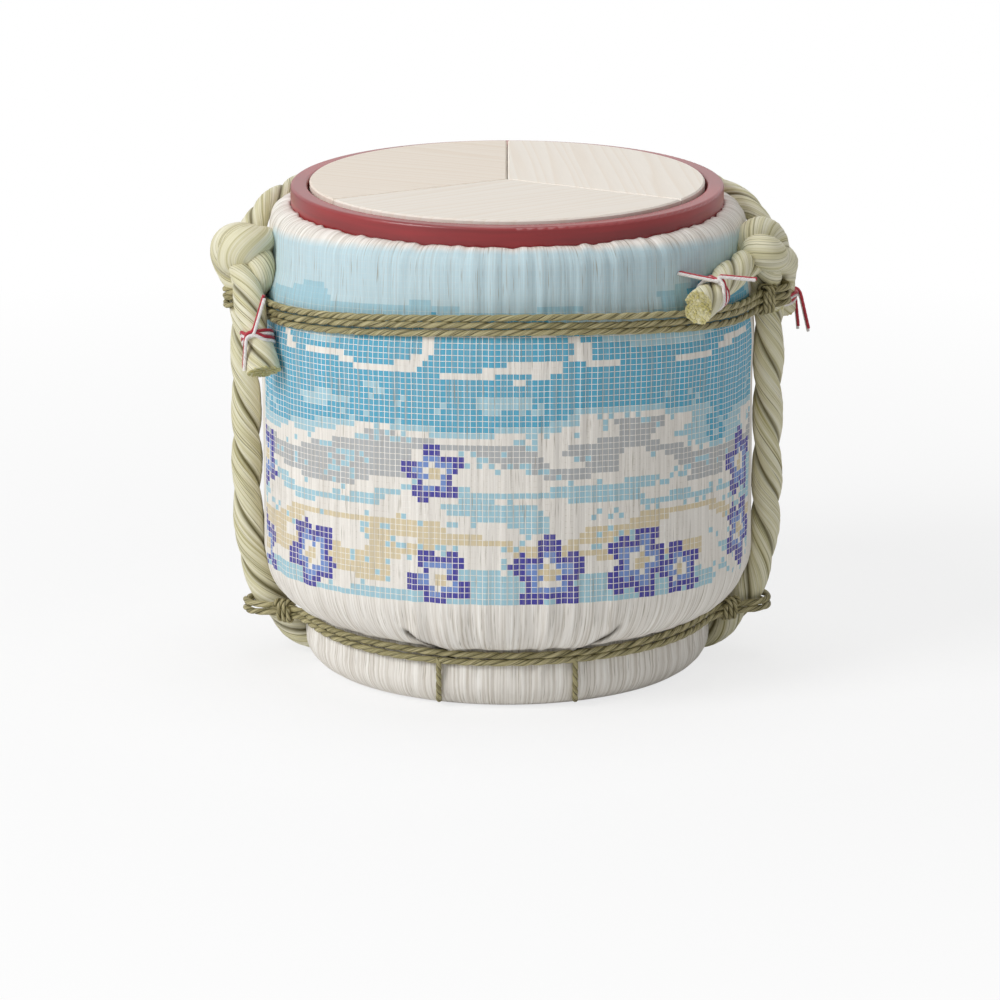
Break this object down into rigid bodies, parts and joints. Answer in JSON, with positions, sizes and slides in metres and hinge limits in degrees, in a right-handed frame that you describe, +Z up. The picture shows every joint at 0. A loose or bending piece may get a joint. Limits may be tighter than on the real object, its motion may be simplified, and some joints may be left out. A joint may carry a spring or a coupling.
{
  "type": "straw-wrapped sake barrel",
  "caption": "Small coopered sake barrel with a split wooden lid and a red rim hoop, wrapped in a printed straw mat and bound with straw ropes and knots.",
  "frame": {"origin": "on the floor, under the middle of the tub", "axes": "+Z up, the printed front towards -Y, the roped sides towards -X and +X"},
  "size_m": [0.2658, 0.2262, 0.22],
  "materials": {
    "cedar": "planed, unfinished",
    "bamboo": "split, smooth skin",
    "lid_wood": "planed, unfinished",
    "red_lacquer": "gloss lacquer",
    "loose_straw": "matte",
    "straw_mat": "woven, printed, matte",
    "thick_rope": "laid straw, matte",
    "thin_rope": "laid straw, matte",
    "red_cord": "twisted paper cord",
    "white_cord": "twisted paper cord"
  },
  "bodies": {
    "barrel": {"stave_01": "cedar", "stave_02": "cedar", "stave_03": "cedar", "stave_04": "cedar", "stave_05": "cedar", "stave_06": "cedar", "stave_07": "cedar", "stave_08": "cedar", "stave_09": "cedar", "stave_10": "cedar", "stave_11": "cedar", "stave_12": "cedar", "stave_13": "cedar", "stave_14": "cedar", "stave_15": "cedar", "stave_16": "cedar", "stave_17": "cedar", "stave_18": "cedar", "bottom_board_1": "cedar", "bottom_board_2": "cedar", "bottom_board_3": "cedar", "bottom_board_4": "cedar", "lower_hoop": "bamboo", "middle_hoop": "bamboo", "upper_hoop": "bamboo", "bottom_dowels": "bamboo", "rim_hoop": "red_lacquer", "straw_padding": "loose_straw", "straw_mat": "straw_mat", "side_rope": "thick_rope", "shoulder_rope": "thick_rope", "left_knot": "thick_rope", "right_knot": "thick_rope", "upper_waist_rope": "thin_rope", "lower_waist_rope": "thin_rope", "upper_frapping_left": "thin_rope", "upper_frapping_right": "thin_rope", "lower_frapping_left": "thin_rope", "lower_frapping_right": "thin_rope", "base_lacing": "thin_rope", "left_front_tie_red": "red_cord", "left_front_tie_white": "white_cord", "left_rear_tie_red": "red_cord", "left_rear_tie_white": "white_cord", "right_front_tie_red": "red_cord", "right_front_tie_white": "white_cord", "right_rear_tie_red": "red_cord", "right_rear_tie_white": "white_cord"},
    "lid_left": {"lid_sector_left": "lid_wood"},
    "lid_front": {"lid_sector_front": "lid_wood"},
    "lid_right": {"lid_sector_right": "lid_wood"}
  },
  "joints": [
    {"name": "lid_left_lift", "type": "slide", "parent": "barrel", "child": "lid_left", "axis": [0, 0, 1], "range_m": [0, 0.12]},
    {"name": "lid_front_lift", "type": "slide", "parent": "barrel", "child": "lid_front", "axis": [0, 0, 1], "range_m": [0, 0.12]},
    {"name": "lid_right_lift", "type": "slide", "parent": "barrel", "child": "lid_right", "axis": [0, 0, 1], "range_m": [0, 0.12]}
  ]
}
